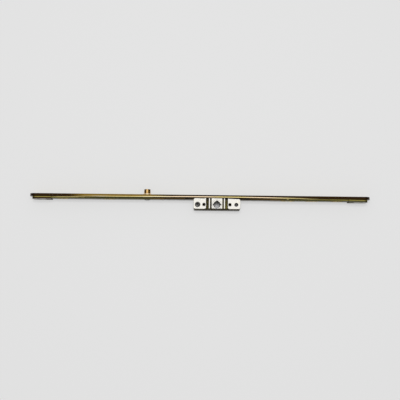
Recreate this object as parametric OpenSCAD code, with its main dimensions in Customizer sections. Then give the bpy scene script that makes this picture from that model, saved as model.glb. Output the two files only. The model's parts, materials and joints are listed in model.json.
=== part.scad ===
// Concealed cremone bolt: a flat drive rod slides behind a steel faceplate, driven by a rack and pinion.
// X runs along the rod, Y from the spindle towards the face with the roller, Z along the spindle.
// The origin is on the spindle axis, at the middle of the faceplate's width. The gear is at mid-throw.

/* [Faceplate] */
// Length of the faceplate left of the spindle axis
left_reach = 209; // [180:1:300]
// Length of the faceplate right of the spindle axis
right_reach = 171; // [160:1:300]
// Width of the faceplate
faceplate_w = 16; // [15.5:0.5:22]
// Thickness of the faceplate
faceplate_t = 3; // [2.5:0.1:4]
// Radius of the faceplate's rolled long edges
faceplate_edge_r = 0.8; // [0.3:0.1:1.2]
// Distance from the spindle axis to the faceplate's inner face
backset = 7.5; // [7.3:0.1:9]

/* [Sash screws] */
// Diameter of the sash screw holes
screw_hole_d = 4.2; // [3.5:0.1:4.8]
// Diameter of the sash screw heads at the outer face
screw_head_d = 8; // [6.5:0.1:9]
// Distance of the outer sash screws from the faceplate's ends
screw_end_inset = 37; // [33:1:44]
// Distance of the inner left sash screw from the spindle axis
screw_left_x = 120; // [96:1:128]
// Distance of the inner right sash screw from the spindle axis
screw_right_x = 106; // [98:1:116]

/* [Drive rod] */
// Width of the left and right rods
rod_w = 10; // [9:0.5:12]
// Thickness of the rods and the rack
rod_t = 2.2; // [1.9:0.1:2.5]
// Where the rods' half laps begin, measured from the spindle axis
lap_start = 36; // [33:1:40]
// Where the rods' half laps end, measured from the spindle axis
lap_end = 59; // [55:1:64]
// Diameter of the lap rivets
lap_rivet_d = 3; // [2:0.1:3.4]
// Diameter of the lap rivets' heads
lap_rivet_head_d = 4.8; // [4:0.1:6]
// Height of the lap rivets' low heads under the rod
lap_rivet_head_h = 0.4; // [0.3:0.1:1.2]
// Width that a lap rivet's upper end spreads in the rod's countersink
lap_rivet_lip = 0.55; // [0.3:0.05:0.7]
// Distance of the lap rivets from the ends of the lap
lap_rivet_inset = 5.2; // [3.5:0.1:8]
// Distance from the faceplate's end to the shoulder of the rod
shoulder_inset = 23; // [22.5:0.5:26]
// Width of the tongue at each end of the rod
tongue_w = 6; // [4:0.1:6.6]
// Thickness of the tongue at each end of the rod
tongue_t = 1.2; // [0.8:0.1:1.5]
// Distance from the faceplate's end to the tip of the tongue
tongue_inset = 10.5; // [10:0.1:11.5]

/* [Rack and pinion] */
// Width of the rack
rack_w = 8.4; // [7.6:0.1:9]
// Face width of the pinion's teeth
tooth_w = 5; // [4:0.1:5.4]
// Pressure angle of the teeth
pressure_angle = 25; // [23:1:27]
// Depth of the rack's bars below the pitch line
rack_addendum = 0.8; // [0.6:0.05:0.9]
// Height of the pinion's teeth above the pitch line
pinion_addendum = 1.1; // [0.8:0.05:1.15]
// Gap between the tip of the rack's bars and the pinion's root
root_gap = 0.2; // [0.15:0.05:0.3]
// Play between teeth and bars along the pitch line
backlash = 0.16; // [0.1:0.02:0.3]
// Turn of the pinion from mid-throw to either end
half_throw = 45; // [30:1:45]
// Size of the spindle across its flats
spindle_square = 7; // [6:0.5:7]
// Radius of the socket's corners
socket_corner_r = 0.8; // [0.4:0.1:1.2]
// Wall between the socket's corners and the hub's outside
hub_wall = 0.5; // [0.4:0.05:0.6]
// Depth of the round lead-in around the socket
lead_in = 0.5; // [0.2:0.1:0.8]

/* [Gearbox] */
// Length of the gearbox
gearbox_l = 52; // [50:0.5:58]
// Thickness of the gearbox, both shells together
gearbox_t = 12; // [11.6:0.1:14]
// Wall under the hub
gearbox_floor = 0.75; // [0.5:0.05:2]
// Radius of the gearbox's corners
gearbox_corner_r = 2; // [0.6:0.1:2.4]
// Chamfer along the front shell's lower edge
lower_chamfer = 0.6; // [0.2:0.05:0.6]
// Width of the spindle boss on the front
boss_w = 11.9; // [11.6:0.1:12.6]
// Width of each groove beside the boss
inner_groove_w = 1.7; // [1.2:0.1:2]
// Thickness of each rib between two grooves
rib_t = 1.4; // [1:0.1:1.8]
// Width of each groove beside the ears
outer_groove_w = 3.1; // [2:0.1:3.2]
// Web between the grooves and the pinion's chamber
groove_web = 0.65; // [0.5:0.05:1.2]

/* [Gearbox fasteners] */
// Distance between the two handle screws
handle_pitch = 43; // [42:0.5:44]
// Diameter of the handle screws' threaded holes, at the thread's crests
handle_hole_d = 4.2; // [3.4:0.1:4.6]
// Diameter of the countersink at the left handle screw
handle_sink_d = 6.2; // [5:0.1:6.6]
// Distance between the two semi-hollow shell rivets
shell_rivet_pitch = 28.8; // [28.4:0.1:29.6]
// Outer diameter of the shell rivets
shell_rivet_d = 3.8; // [3.4:0.1:4]
// Bore of the shell rivets
shell_rivet_bore = 2.7; // [2:0.1:2.9]
// Depth of the shell rivets' bores, from the front
shell_rivet_depth = 9; // [6:0.5:10]
// Width of the lip at both ends of a shell rivet
shell_rivet_lip = 0.5; // [0.3:0.05:0.6]
// Distance between the two studs that hold the gearbox
stud_pitch = 37.2; // [36.8:0.1:38]
// Diameter of the studs
stud_d = 2.6; // [2:0.1:2.8]
// Diameter of the studs' trapped heads
stud_head_d = 3.8; // [3.4:0.1:4.2]
// Width that a stud's end spreads in the faceplate's countersink
stud_lip = 0.6; // [0.3:0.05:0.7]
// Thickness of the studs' trapped heads
stud_head_t = 1; // [0.7:0.05:1.1]
// Web between the rack's channel and the studs' heads
stud_web = 0.9; // [0.7:0.05:1]

/* [End guides] */
// Length of the straight part of an end guide
guide_l = 9.8; // [9:0.1:10.2]
// Width of an end guide
guide_w = 13; // [12.5:0.1:13.4]
// Depth of an end guide below the rod
guide_drop = 0.9; // [0.4:0.1:1.5]
// Length of an end guide's cheeks, which run past its mouth along the rod's sides
guide_cheek_l = 6.5; // [5:0.1:8]
// Wall at the closed end of an end guide's channel
guide_end_wall = 2.2; // [1.5:0.1:3]
// Diameter of the end guides' rivets
guide_rivet_d = 2; // [1.6:0.1:2.2]
// Width of the lip that each guide rivet spreads at both ends
guide_rivet_lip = 0.6; // [0.4:0.05:0.7]
// Distance of an end guide's rivets from the centre of its round end, towards the spindle
guide_rivet_back = 2; // [1:0.1:3]
// Distance between the two rivets of one end guide
guide_rivet_pitch = 9.8; // [9.4:0.1:10.2]

/* [Roller cam] */
// Distance of the cam from the spindle axis
cam_x = 78; // [72:0.1:90]
// Diameter of the cam's shank
cam_shank_d = 4.4; // [4.2:0.1:4.6]
// Diameter of the cam's neck in the rod
cam_neck_d = 3.6; // [3:0.1:3.8]
// Diameter of the collar under the roller
collar_d = 8.2; // [7.8:0.1:12]
// Height of the collar
collar_h = 1.5; // [0.8:0.1:3]
// Outer diameter of the roller
roller_d = 6.9; // [6.6:0.1:9]
// Height of the roller
roller_h = 4.5; // [3:0.1:9]
// Diameter of the cam pin's top head
cam_head_d = 5.4; // [5.2:0.1:5.8]
// Thickness of the cam pin's top head
cam_head_t = 0.8; // [0.5:0.1:1.4]
// Diameter of the cam pin's peened tail
cam_tail_d = 5.2; // [4.8:0.1:6]
// Thickness of the cam pin's peened tail
cam_tail_t = 0.4; // [0.3:0.1:1.2]
// Diameter of the washer under the rod
cam_washer_d = 6.6; // [6.2:0.1:9]
// Thickness of the washer under the rod
cam_washer_t = 0.4; // [0.3:0.1:1]

/* [Rod guide] */
// Distance of the rod guide from the spindle axis
rod_guide_x = 79; // [75:0.5:84]
// Diameter of the guide rivet
rod_guide_d = 3; // [2.4:0.1:3.2]
// Diameter of the guide rivet's countersunk head
rod_guide_head_d = 5.6; // [5:0.1:6.4]
// Diameter of the guide rivet's tail
rod_guide_tail_d = 4.6; // [4:0.1:5.4]
// Thickness of the guide rivet's tail
rod_guide_tail_t = 0.4; // [0.3:0.1:0.6]
// Diameter of the guide washer
rod_guide_washer_d = 6.2; // [5.8:0.1:6.8]
// Thickness of the guide washer
rod_guide_washer_t = 0.5; // [0.4:0.1:0.7]
// Diameter of the half-round notches in the rod's upper edges beside the guide
guide_notch_d = 2.8; // [2:0.1:3.2]
// Depth of these notches from the rod's sides
guide_notch_depth = 1; // [0.6:0.1:1.1]

/* [Clearances] */
// Gap between the rod and the faceplate, and under the collar and over the washers
slide_gap = 0.1; // [0.08:0.01:0.15]
// Gap beside and under sliding pieces
side_clear = 0.15; // [0.1:0.01:0.2]
// Radial running clearance of the hub and the roller
run_clear = 0.05; // [0.03:0.01:0.08]
// Radial clearance of fixed pins in their holes
seat_clear = 0.03; // [0.02:0.01:0.05]
// Gap left at the end of a travel
end_clear = 0.3; // [0.2:0.05:0.4]

/* [Hidden] */
$fn = 64;
// Extra depth of a cut past the surface it opens
over = 1;
// Faces of the faceplate and the rod, along Y
faceplate_out = backset + faceplate_t;
rod_top = backset - slide_gap;
rod_bottom = rod_top - rod_t;
lap_y = rod_bottom + rod_t / 2;
guide_bottom = rod_bottom - guide_drop;
// Pitch circle, tooth pitch and travel of the rack to either side
pitch_r = rod_bottom + rack_addendum;
// A whole pitch circle would hold eight teeth, so the socket's corners lie under teeth or pads
tooth_count = 8;
tooth_step = 360 / tooth_count;
side_teeth = 1;
tooth_pitch = 2 * PI * pitch_r / tooth_count;
travel = pitch_r * half_throw * PI / 180;
tip_r = pitch_r + pinion_addendum;
root_r = rod_bottom - root_gap;
base_r = pitch_r * cos(pressure_angle);
tooth_thick = (tooth_pitch - backlash) / 2;
side_windows = 2 * side_teeth;
window_w = tooth_w + 2 * side_clear;
// Socket, hub and gearbox
socket_half = (spindle_square + slide_gap) / 2;
socket_corner = socket_half * sqrt(2) - socket_corner_r * (sqrt(2) - 1);
hub_r = socket_corner + hub_wall;
hub_bore_r = hub_r + run_clear;
gearbox_drop = hub_bore_r + gearbox_floor;
chamber_r = tip_r + side_clear;
chamber_floor = hub_r + side_clear;
chamber_half = tooth_w / 2 + side_clear;
channel_floor = rod_bottom - side_clear;
channel_half = rack_w / 2 + side_clear;
groove_depth = gearbox_t / 2 - chamber_half - groove_web;
rib_x = boss_w / 2 + inner_groove_w;
ear_x = rib_x + rib_t + outer_groove_w;
stud_head_top = channel_floor - stud_web;
// Recess under the rod that takes the guide washer and the guide rivet's tail
guide_recess = slide_gap + rod_guide_washer_t + rod_guide_tail_t;
guide_washer_y = rod_bottom + rod_guide_tail_t;
// Roller cam, from the faceplate outwards
collar_y = faceplate_out + slide_gap;
roller_y = collar_y + collar_h + slide_gap;
roller_top = roller_y + roller_h;
// Centre of the faceplate's round ends, measured in from the ends
end_centre = faceplate_w / 2;

yellow_steel = [0.72, 0.62, 0.36];
dark_steel = [0.35, 0.30, 0.24];
bright_zinc = [0.93, 0.92, 0.88];
brass = [0.80, 0.60, 0.30];

// Rectangle with round corners, centred
module rounded_rect(w, h, r) {
    square([w - 2 * r, h], center = true);
    square([w, h - 2 * r], center = true);
    for (sx = [-1, 1], sy = [-1, 1])
        translate([sx * (w / 2 - r), sy * (h / 2 - r)])
            circle(r);
}

// Slot with round ends, centred, run long between the centres of its ends
module slot_outline(run, d) {
    square([run, d], center = true);
    for (s = [-1, 1])
        translate([s * run / 2, 0])
            circle(d = d);
}

// Stands an outline drawn in X and Z up along Y, from y for the height h
module along_y(y, h) {
    translate([0, y, 0])
        rotate([-90, 0, 0])
            linear_extrude(h)
                children();
}

// Turns a profile of [radius, y] points around a line along Y
module turned_y(profile) {
    rotate([-90, 0, 0])
        rotate_extrude()
            polygon(profile);
}

// Hole along Y at x, z through the heights y to y + h
module hole_y(x, y, h, d, z = 0) {
    translate([x, y, z])
        rotate([-90, 0, 0])
            cylinder(h = h, d = d);
}

// Hole along Y from below, countersunk at 45 degrees to head_d at the height top
module sunk_hole(x, top, depth, d, head_d, z = 0) {
    hole_y(x, top - depth, depth, d, z);
    translate([x, 0, z])
        turned_y([[0, top - head_d / 2], [head_d / 2 + over, top + over], [0, top + over]]);
}

// Slot in the rod for a fixed pin of diameter d at x, h high from below, with room for the whole travel
module travel_slot(x, d, h) {
    translate([x, 0, 0])
        along_y(rod_bottom - over, h + over)
            slot_outline(2 * travel, d + 2 * end_clear);
}

// Plan of the faceplate, or of a strip that follows its ends at the width w
module strip_plan(w) {
    span = left_reach + right_reach - 2 * end_centre;
    translate([(right_reach - left_reach) / 2, 0])
        slot_outline(span, w);
}

// Places its child at both ends of the faceplate, with the outward direction along X
module at_end(side) {
    if (side < 0)
        mirror([1, 0, 0])
            children();
    else
        children();
}

function reach(side) = side < 0 ? left_reach : right_reach;
function screw_inner(side) = side < 0 ? screw_left_x : screw_right_x;

// Places of the four sash screws along X
function screw_places() = [
    -(left_reach - screw_end_inset), -screw_left_x, screw_right_x, right_reach - screw_end_inset
];

// Middle of an end guide's rivets, measured from the spindle axis
function guide_rivet_x(side) = reach(side) - end_centre - guide_rivet_back;

module faceplate() {
    color(yellow_steel)
        difference() {
            intersection() {
                translate([-left_reach, backset + faceplate_t / 2, 0])
                    rotate([90, 0, 90])
                        linear_extrude(left_reach + right_reach)
                            rounded_rect(faceplate_t, faceplate_w, faceplate_edge_r);
                along_y(backset - over, faceplate_t + 2 * over)
                    strip_plan(faceplate_w);
            }
            for (x = screw_places())
                sunk_hole(x, faceplate_out, faceplate_t + over, screw_hole_d, screw_head_d);
            translate([-cam_x, 0, 0])
                along_y(backset - over, faceplate_t + 2 * over)
                    slot_outline(2 * travel, cam_shank_d + 2 * end_clear);
            for (s = [-1, 1])
                sunk_hole(s * stud_pitch / 2, faceplate_out, faceplate_t + over, stud_d + 2 * seat_clear,
                    stud_d + 2 * stud_lip + 2 * seat_clear);
            sunk_hole(rod_guide_x, faceplate_out, faceplate_t + over, rod_guide_d + 2 * seat_clear,
                rod_guide_head_d + 2 * seat_clear);
            for (side = [-1, 1], s = [-1, 1])
                sunk_hole(side * guide_rivet_x(side), faceplate_out, faceplate_t + over,
                    guide_rivet_d + 2 * seat_clear, guide_rivet_d + 2 * guide_rivet_lip + 2 * seat_clear,
                    s * guide_rivet_pitch / 2);
        }
}

// One half of the gearbox, from the middle plane to z = gearbox_t / 2
module shell_half() {
    height = backset + gearbox_drop;
    difference() {
        translate([0, (backset - gearbox_drop) / 2, 0])
            linear_extrude(gearbox_t / 2)
                rounded_rect(gearbox_l, height, gearbox_corner_r);
        // Channel of the rack
        translate([-gearbox_l / 2 - over, channel_floor, -over])
            cube([gearbox_l + 2 * over, backset - channel_floor + over, channel_half + over]);
        // Chamber of the pinion, closed below
        translate([0, 0, -over])
            linear_extrude(chamber_half + over)
                intersection() {
                    circle(chamber_r);
                    translate([-chamber_r, -chamber_floor])
                        square([2 * chamber_r, chamber_floor + backset]);
                }
        translate([0, 0, -over])
            cylinder(h = gearbox_t, r = hub_bore_r);
        for (s = [-1, 1]) {
            translate([s * handle_pitch / 2, 0, -over])
                cylinder(h = gearbox_t, d = handle_hole_d);
            translate([s * shell_rivet_pitch / 2, 0, -over])
                cylinder(h = gearbox_t, d = shell_rivet_d + 2 * seat_clear);
            translate([s * shell_rivet_pitch / 2, 0, 0])
                rotate_extrude()
                    lip_profile(shell_rivet_d / 2 + seat_clear, gearbox_t / 2, shell_rivet_lip);
            // Trapped head and shank of a stud
            hole_y(s * stud_pitch / 2, stud_head_top - stud_head_t - seat_clear, stud_head_t + 2 * seat_clear,
                stud_head_d + 2 * seat_clear);
            hole_y(s * stud_pitch / 2, stud_head_top, stud_web + over, stud_d + 2 * seat_clear);
        }
    }
}

// Triangle that widens a hole of radius r to r + lip at the height z
module lip_profile(r, z, lip) {
    polygon([[0, z - r - lip], [r + lip + over, z + over], [0, z + over]]);
}

module gearbox_front_shell() {
    color(bright_zinc)
        difference() {
            shell_half();
            // Grooves that leave two ears, two ribs and the spindle boss standing
            for (s = [0, 1])
                mirror([s, 0, 0]) {
                    groove(boss_w / 2, inner_groove_w);
                    groove(rib_x + rib_t, outer_groove_w);
                }
            // Chamfer along the lower edge
            translate([-gearbox_l / 2 - over, -gearbox_drop, gearbox_t / 2])
                rotate([90, 0, 90])
                    linear_extrude(gearbox_l + 2 * over)
                        polygon([
                            [-over, over], [-over, -lower_chamfer - over], [lower_chamfer + over, over]
                        ]);
            // Countersink at the left handle screw
            translate([-handle_pitch / 2, 0, 0])
                rotate_extrude()
                    sink_profile(handle_hole_d / 2, handle_sink_d / 2);
        }
}

// Cone at 45 degrees that opens a hole of radius r to the radius mouth at the front
module sink_profile(r, mouth) {
    depth = mouth - r;
    polygon([[0, gearbox_t / 2 - depth], [r, gearbox_t / 2 - depth], [mouth, gearbox_t / 2],
        [mouth, gearbox_t / 2 + over], [0, gearbox_t / 2 + over]]);
}

// Groove across the front shell, from x for the width w
module groove(x, w) {
    translate([x, -gearbox_drop - over, gearbox_t / 2 - groove_depth])
        cube([w, gearbox_drop + backset + 2 * over, groove_depth + over]);
}

module gearbox_back_shell() {
    color(bright_zinc)
        mirror([0, 0, 1])
            shell_half();
}

module shell_rivets() {
    color(bright_zinc)
        for (s = [-1, 1])
            translate([s * shell_rivet_pitch / 2, 0, 0])
                rotate_extrude()
                    polygon([
                        [0, -gearbox_t / 2],
                        [shell_rivet_d / 2 + shell_rivet_lip, -gearbox_t / 2],
                        [shell_rivet_d / 2, -gearbox_t / 2 + shell_rivet_lip],
                        [shell_rivet_d / 2, gearbox_t / 2 - shell_rivet_lip],
                        [shell_rivet_d / 2 + shell_rivet_lip, gearbox_t / 2],
                        [shell_rivet_bore / 2, gearbox_t / 2],
                        [shell_rivet_bore / 2, gearbox_t / 2 - shell_rivet_depth],
                        [0, gearbox_t / 2 - shell_rivet_depth]
                    ]);
}

module gearbox_studs() {
    head_bottom = stud_head_top - stud_head_t;
    color(yellow_steel)
        for (s = [-1, 1])
            translate([s * stud_pitch / 2, 0, 0])
                turned_y([
                    [0, head_bottom], [stud_head_d / 2, head_bottom], [stud_head_d / 2, stud_head_top],
                    [stud_d / 2, stud_head_top], [stud_d / 2, faceplate_out - stud_lip],
                    [stud_d / 2 + stud_lip, faceplate_out], [0, faceplate_out]
                ]);
}

// End guide for one side: a block with a round end, a covered channel for the rod's tongue and two cheeks
module end_guide(side) {
    centre = reach(side) - end_centre;
    channel_end = reach(side) - tongue_inset + travel + end_clear;
    mouth = centre - guide_l;
    cheek_in = rod_w / 2 + side_clear;
    sink_r = guide_rivet_d / 2 + guide_rivet_lip + seat_clear;
    difference() {
        along_y(guide_bottom, backset - guide_bottom) {
            translate([mouth, -guide_w / 2])
                square([guide_l, guide_w]);
            for (near = [-guide_w / 2, cheek_in])
                translate([mouth - guide_cheek_l, near])
                    square([guide_cheek_l + over, guide_w / 2 - cheek_in]);
            intersection() {
                translate([centre, 0])
                    circle(d = guide_w);
                translate([mouth, -guide_w / 2])
                    square([channel_end + guide_end_wall - mouth, guide_w]);
            }
        }
        translate([mouth - over, rod_top - tongue_t - side_clear, -tongue_w / 2 - side_clear])
            cube([channel_end - mouth + over, tongue_t + side_clear + slide_gap + over,
                tongue_w + 2 * side_clear]);
        for (s = [-1, 1]) {
            hole_y(guide_rivet_x(side), guide_bottom - over, backset, guide_rivet_d + 2 * seat_clear,
                s * guide_rivet_pitch / 2);
            translate([guide_rivet_x(side), 0, s * guide_rivet_pitch / 2])
                turned_y([
                    [0, guide_bottom - over], [sink_r + over, guide_bottom - over],
                    [0, guide_bottom + sink_r]
                ]);
        }
    }
}

module end_guide_left() {
    color(dark_steel)
        at_end(-1)
            end_guide(-1);
}

module end_guide_right() {
    color(dark_steel)
        at_end(1)
            end_guide(1);
}

module end_guide_rivets() {
    r = guide_rivet_d / 2;
    color(yellow_steel)
        for (side = [-1, 1], s = [-1, 1])
            translate([side * guide_rivet_x(side), 0, s * guide_rivet_pitch / 2])
                turned_y([
                    [0, guide_bottom], [r + guide_rivet_lip, guide_bottom],
                    [r, guide_bottom + guide_rivet_lip],
                    [r, faceplate_out - guide_rivet_lip], [r + guide_rivet_lip, faceplate_out],
                    [0, faceplate_out]
                ]);
}

module rod_guide_rivet() {
    r = rod_guide_d / 2;
    lip = (rod_guide_head_d - rod_guide_d) / 2;
    color(yellow_steel)
        translate([rod_guide_x, 0, 0])
            turned_y([
                [0, rod_bottom], [rod_guide_tail_d / 2, rod_bottom], [rod_guide_tail_d / 2, guide_washer_y],
                [r, guide_washer_y], [r, faceplate_out - lip], [r + lip, faceplate_out], [0, faceplate_out]
            ]);
}

// Flat ring around a line along Y
module ring_y(x, y, h, d, bore) {
    translate([x, y, 0])
        rotate([-90, 0, 0])
            difference() {
                cylinder(h = h, d = d);
                translate([0, 0, -over])
                    cylinder(h = h + 2 * over, d = bore);
            }
}

module rod_guide_washer() {
    color(dark_steel)
        ring_y(rod_guide_x, guide_washer_y, rod_guide_washer_t, rod_guide_washer_d,
            rod_guide_d + 2 * seat_clear);
}

// Width of a rack window at the height y, between two bars with sloping flanks
function window_at(y) = tooth_pitch - tooth_thick - 2 * (y - pitch_r) * tan(pressure_angle);

// Places of the two lap rivets, measured from the spindle axis
function lap_rivet_places() = [lap_start + lap_rivet_inset, lap_end - lap_rivet_inset];

module rack_slide() {
    low = rod_bottom - over;
    high = rod_top + over;
    relief_x = hub_r + travel + end_clear;
    relief_y = hub_r + end_clear;
    color(dark_steel)
        difference() {
            union() {
                translate([-lap_start + side_clear, rod_bottom, -rack_w / 2])
                    cube([2 * (lap_start - side_clear), rod_t, rack_w]);
                translate([-lap_end + side_clear, rod_bottom, -rack_w / 2])
                    cube([2 * (lap_end - side_clear), lap_y - rod_bottom, rack_w]);
            }
            // Windows between the bars that the pinion's teeth push on
            for (k = [-side_windows : side_windows])
                translate([k * tooth_pitch, 0, -window_w / 2])
                    linear_extrude(window_w)
                        polygon([
                            [-window_at(low) / 2, low], [window_at(low) / 2, low],
                            [window_at(high) / 2, high], [-window_at(high) / 2, high]
                        ]);
            // Relief of the rails over the hub
            for (s = [0, 1])
                mirror([0, 0, s])
                    translate([-relief_x, low, window_w / 2])
                        cube([2 * relief_x, relief_y - low, rack_w]);
            for (s = [-1, 1]) {
                travel_slot(s * stud_pitch / 2, stud_d, rod_t + over);
                for (x = lap_rivet_places())
                    hole_y(s * x, low, rod_t + 2 * over, lap_rivet_d + 2 * seat_clear);
            }
        }
}

// Blank of the rod on one side: half lap, full bar with a bevelled shoulder, and tongue
module rod_blank(side) {
    shoulder = reach(side) - shoulder_inset;
    tongue_y = rod_top - tongue_t;
    bevel = tongue_y - rod_bottom;
    translate([0, 0, -rod_w / 2])
        linear_extrude(rod_w)
            polygon([
                [lap_start, lap_y], [lap_end, lap_y], [lap_end, rod_bottom], [shoulder - bevel, rod_bottom],
                [shoulder, tongue_y], [shoulder, rod_top], [lap_start, rod_top]
            ]);
    translate([shoulder - bevel, tongue_y, -tongue_w / 2])
        cube([shoulder_inset - tongue_inset + bevel, tongue_t, tongue_w]);
}

// Rod of one side with its screw slots and rivet holes; its children are cut away too
module rod(side) {
    color(yellow_steel)
        at_end(side)
            difference() {
                rod_blank(side);
                travel_slot(reach(side) - screw_end_inset, screw_hole_d, rod_t + over);
                travel_slot(screw_inner(side), screw_hole_d, rod_t + over);
                for (x = lap_rivet_places())
                    sunk_hole(x, rod_top, rod_t + over, lap_rivet_d + 2 * seat_clear,
                        lap_rivet_d + 2 * lap_rivet_lip + 2 * seat_clear);
                children();
            }
}

module left_rod() {
    rod(-1)
        hole_y(cam_x, rod_bottom - over, rod_t + 2 * over, cam_neck_d + 2 * seat_clear);
}

module right_rod() {
    rod(1) {
        travel_slot(rod_guide_x, rod_guide_d, rod_t + over);
        travel_slot(rod_guide_x, rod_guide_washer_d, guide_recess);
        for (s = [0, 1])
            mirror([0, 0, s])
                translate([rod_guide_x, rod_top, rod_w / 2 - guide_notch_depth])
                    cylinder(h = guide_notch_depth + over, d = guide_notch_d);
    }
}

// Two rivets of one lap: countersunk flush above, low heads below
module lap_rivets(side) {
    r = lap_rivet_d / 2;
    head_y = rod_bottom - lap_rivet_head_h;
    color(dark_steel)
        for (x = lap_rivet_places())
            translate([side * x, 0, 0])
                turned_y([
                    [0, head_y], [lap_rivet_head_d / 2, head_y], [lap_rivet_head_d / 2, rod_bottom],
                    [r, rod_bottom], [r, rod_top - lap_rivet_lip], [r + lap_rivet_lip, rod_top],
                    [0, rod_top]
                ]);
}

module left_lap_rivets() {
    lap_rivets(-1);
}

module right_lap_rivets() {
    lap_rivets(1);
}

module cam_pin() {
    washer_y = rod_bottom - cam_washer_t;
    head_y = roller_top - cam_head_t;
    color(brass)
        translate([-cam_x, 0, 0])
            turned_y([
                [0, washer_y - cam_tail_t], [cam_tail_d / 2, washer_y - cam_tail_t],
                [cam_tail_d / 2, washer_y], [cam_neck_d / 2, washer_y], [cam_neck_d / 2, rod_top],
                [cam_shank_d / 2, rod_top], [cam_shank_d / 2, head_y], [cam_head_d / 2, head_y],
                [cam_head_d / 2, roller_top], [0, roller_top]
            ]);
}

module cam_collar() {
    color(brass)
        ring_y(-cam_x, collar_y, collar_h, collar_d, cam_shank_d + 2 * seat_clear);
}

module cam_washer() {
    color(dark_steel)
        ring_y(-cam_x, rod_bottom - cam_washer_t, cam_washer_t, cam_washer_d, cam_neck_d + 2 * seat_clear);
}

module cam_roller() {
    color(brass)
        translate([-cam_x, 0, 0])
            turned_y([
                [cam_shank_d / 2 + run_clear, roller_y], [roller_d / 2, roller_y],
                [roller_d / 2, roller_top], [cam_head_d / 2 + run_clear, roller_top],
                [cam_head_d / 2 + run_clear, roller_top - cam_head_t - run_clear],
                [cam_shank_d / 2 + run_clear, roller_top - cam_head_t - run_clear]
            ]);
}

// Involute function, in degrees
function inv(a) = tan(a) * 180 / PI - a;

// Half angle of a tooth at the radius r: an involute outside the base circle, radial inside it
function tooth_half_angle(r) =
    tooth_thick / (2 * pitch_r) * 180 / PI + inv(pressure_angle) - inv(acos(min(1, base_r / r)));

// One tooth along +X, from inside the root to just past the tip
module tooth() {
    steps = 6;
    start = root_r - root_gap;
    radii = concat([start], [for (i = [0 : steps]) base_r + (tip_r + root_gap - base_r) * i / steps]);
    half = [for (r = radii) tooth_half_angle(max(r, base_r))];
    last = len(radii) - 1;
    polygon(concat(
        [for (i = [0 : last]) radii[i] * [cos(half[i]), -sin(half[i])]],
        [for (i = [last : -1 : 0]) radii[i] * [cos(half[i]), sin(half[i])]]
    ));
}

// The three teeth that the throw brings to the rack
module sector() {
    circle(root_r);
    intersection() {
        circle(tip_r);
        for (k = [-side_teeth : side_teeth])
            rotate(90 + k * tooth_step)
                tooth();
    }
}

module pinion() {
    pad_top = root_r * sin(tooth_step / 2);
    color(bright_zinc)
        difference() {
            union() {
                linear_extrude(tooth_w, center = true)
                    sector();
                // Hub, cut back to the root circle where it would meet the rack's bars
                difference() {
                    cylinder(h = gearbox_t, r = hub_r, center = true);
                    translate([-hub_r - over, pad_top, -tooth_w / 2])
                        cube([2 * (hub_r + over), hub_r + over, tooth_w]);
                }
            }
            // Square socket with a corner towards the rack at mid-throw
            rotate(45)
                linear_extrude(gearbox_t + 2 * over, center = true)
                    rounded_rect(2 * socket_half, 2 * socket_half, socket_corner_r);
            // Round lead-in at the front
            translate([0, 0, gearbox_t / 2 - lead_in])
                cylinder(h = lead_in + over, r1 = socket_half, r2 = socket_half + lead_in + over);
        }
}

faceplate();
gearbox_front_shell();
gearbox_back_shell();
shell_rivets();
gearbox_studs();
end_guide_left();
end_guide_right();
end_guide_rivets();
rod_guide_rivet();
rod_guide_washer();
rack_slide();
left_rod();
right_rod();
left_lap_rivets();
right_lap_rivets();
cam_pin();
cam_collar();
cam_washer();
cam_roller();
pinion();
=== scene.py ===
import json
import math
from typing import NamedTuple

import bmesh
import bpy
import numpy as np
from mathutils import Euler, Matrix, Vector


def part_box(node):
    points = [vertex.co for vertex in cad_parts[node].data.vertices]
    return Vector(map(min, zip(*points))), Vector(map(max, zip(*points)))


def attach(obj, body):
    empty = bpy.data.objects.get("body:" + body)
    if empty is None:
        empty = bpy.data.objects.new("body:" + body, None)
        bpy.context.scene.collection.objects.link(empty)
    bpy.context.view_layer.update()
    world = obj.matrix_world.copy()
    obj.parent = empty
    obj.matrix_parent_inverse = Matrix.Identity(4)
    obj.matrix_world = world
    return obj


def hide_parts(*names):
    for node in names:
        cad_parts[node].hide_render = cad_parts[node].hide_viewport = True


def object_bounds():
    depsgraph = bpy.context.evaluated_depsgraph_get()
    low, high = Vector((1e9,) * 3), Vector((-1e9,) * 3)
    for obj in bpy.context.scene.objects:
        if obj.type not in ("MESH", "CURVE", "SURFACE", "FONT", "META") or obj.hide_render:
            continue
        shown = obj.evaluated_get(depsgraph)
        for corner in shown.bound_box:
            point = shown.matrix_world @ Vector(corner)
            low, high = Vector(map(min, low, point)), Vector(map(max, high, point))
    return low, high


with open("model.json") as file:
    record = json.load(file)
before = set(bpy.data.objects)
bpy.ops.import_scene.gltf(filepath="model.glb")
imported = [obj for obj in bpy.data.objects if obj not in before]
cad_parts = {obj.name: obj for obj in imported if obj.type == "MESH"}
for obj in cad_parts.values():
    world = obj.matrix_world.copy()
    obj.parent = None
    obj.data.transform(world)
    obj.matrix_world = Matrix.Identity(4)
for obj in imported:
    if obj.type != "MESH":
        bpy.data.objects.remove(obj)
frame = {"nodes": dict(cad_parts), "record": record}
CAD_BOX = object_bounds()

bl_info = {
    "name": "Concealed cremone bolt",
    "version": (1, 0, 0),
    "blender": (4, 5, 0),
    "location": "View3D > Sidebar > Cremone",
    "description": "Rounded meshes, finishes and a studio for a faceplate bolt with a rack and pinion",
    "category": "Mesh",
}

MM = 0.001

# Doubles closer than this are one point
MERGE = 0.0005 * MM
# Decimals of a metre that tell vertices apart, and the gap that tells the solids of a node apart
DECIMALS = 6
APART = 4 * MM
# Faces that meet at less than this are one flat face
FLAT = math.radians(0.4)
# Edges that turn by more than this are rounded
SHARP = math.radians(34)
# Steps around a turned piece, along a dome, along a rounded corner and across a rounded edge
TURN_STEPS = 96
DOME_STEPS = 10
CORNER_STEPS = 4
EDGE_STEPS = 2
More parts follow.
